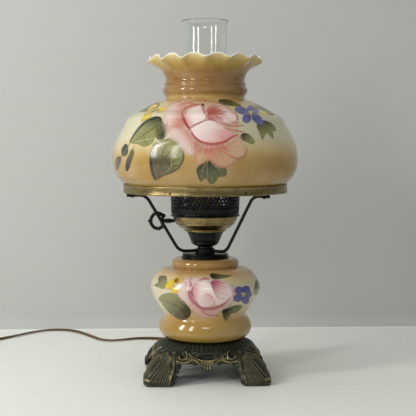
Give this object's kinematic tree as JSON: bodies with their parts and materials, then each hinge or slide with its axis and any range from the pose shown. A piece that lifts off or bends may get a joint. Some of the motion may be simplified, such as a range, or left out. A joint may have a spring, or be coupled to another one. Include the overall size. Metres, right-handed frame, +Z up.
{
  "type": "oil lamp",
  "caption": "Electrified parlour lamp shaped like an oil lamp: square cast base, painted glass font and shade, clear chimney and turn-key switch.",
  "frame": {"origin": "on the table under the lamp's axis, at the bottom of the felt pads", "axes": "+Z up along the lamp's axis, the key points along -X, the front is -Y and the lead leaves along +Y"},
  "size_m": [0.6232, 0.5263, 0.5589],
  "materials": {
    "patina_iron": "dark green-black patina with rubbed brass highlights",
    "felt": "felt",
    "steel": "zinc plated",
    "seat_rubber": "matte",
    "painted_opal_glass": "glossy opal glass with hand painted flowers",
    "clear_glass": "clear",
    "black_metal": "satin black",
    "antique_brass": "brushed antique brass",
    "polished_brass": "polished",
    "insulator": "dark phenolic",
    "card": "fibre sleeve",
    "brown_vinyl": "brown vinyl",
    "aluminium": "bright",
    "bulb_frost": "frosted"
  },
  "bodies": {
    "stand": {"base_casting": "patina_iron", "felt_pads": "felt", "base_washer": "steel", "base_nut": "steel", "threaded_pipe": "steel", "font_seat_washer": "seat_rubber", "font": "painted_opal_glass", "font_cap": "black_metal", "arm_hub": "black_metal", "shade_arm_1": "black_metal", "shade_arm_2": "black_metal", "shade_arm_3": "black_metal", "arm_rivets": "antique_brass", "shade_ring": "antique_brass", "burner_cup": "black_metal", "burner_bowl": "polished_brass", "gallery": "black_metal", "chimney_holder": "polished_brass", "socket_cap": "polished_brass", "socket_shell": "polished_brass", "socket_sleeve": "card", "socket_core": "insulator", "screw_shell": "polished_brass", "centre_contact": "polished_brass", "lead_bushing": "insulator", "inner_lead": "brown_vinyl", "lead": "brown_vinyl", "lead_coil": "brown_vinyl", "coil_tie": "insulator", "lead_tail": "brown_vinyl", "plug_body": "brown_vinyl", "plug_blades": "polished_brass"},
    "key": {"switch_spindle": "polished_brass", "switch_key": "black_metal"},
    "shade": {"shade_lower": "painted_opal_glass", "shade_upper": "painted_opal_glass", "shade_neck": "painted_opal_glass"},
    "chimney": {"chimney": "clear_glass"},
    "bulb": {"bulb_glass": "bulb_frost", "bulb_screw_base": "aluminium", "bulb_contact": "polished_brass"}
  },
  "joints": [
    {"name": "key_turn", "type": "hinge", "parent": "stand", "child": "key", "pos_m": [-0.05, 0, 0.2445], "axis": [-1, 0, 0], "continuous": true},
    {"name": "shade_lift", "type": "slide", "parent": "stand", "child": "shade", "axis": [0, 0, 1], "range_m": [0, 0.29]},
    {"name": "chimney_lift", "type": "slide", "parent": "stand", "child": "chimney", "axis": [0, 0, 1], "range_m": [0, 0.3]},
    {"name": "bulb_unscrew", "type": "slide", "parent": "stand", "child": "bulb", "axis": [0, 0, 1], "range_m": [0, 0.035]}
  ]
}
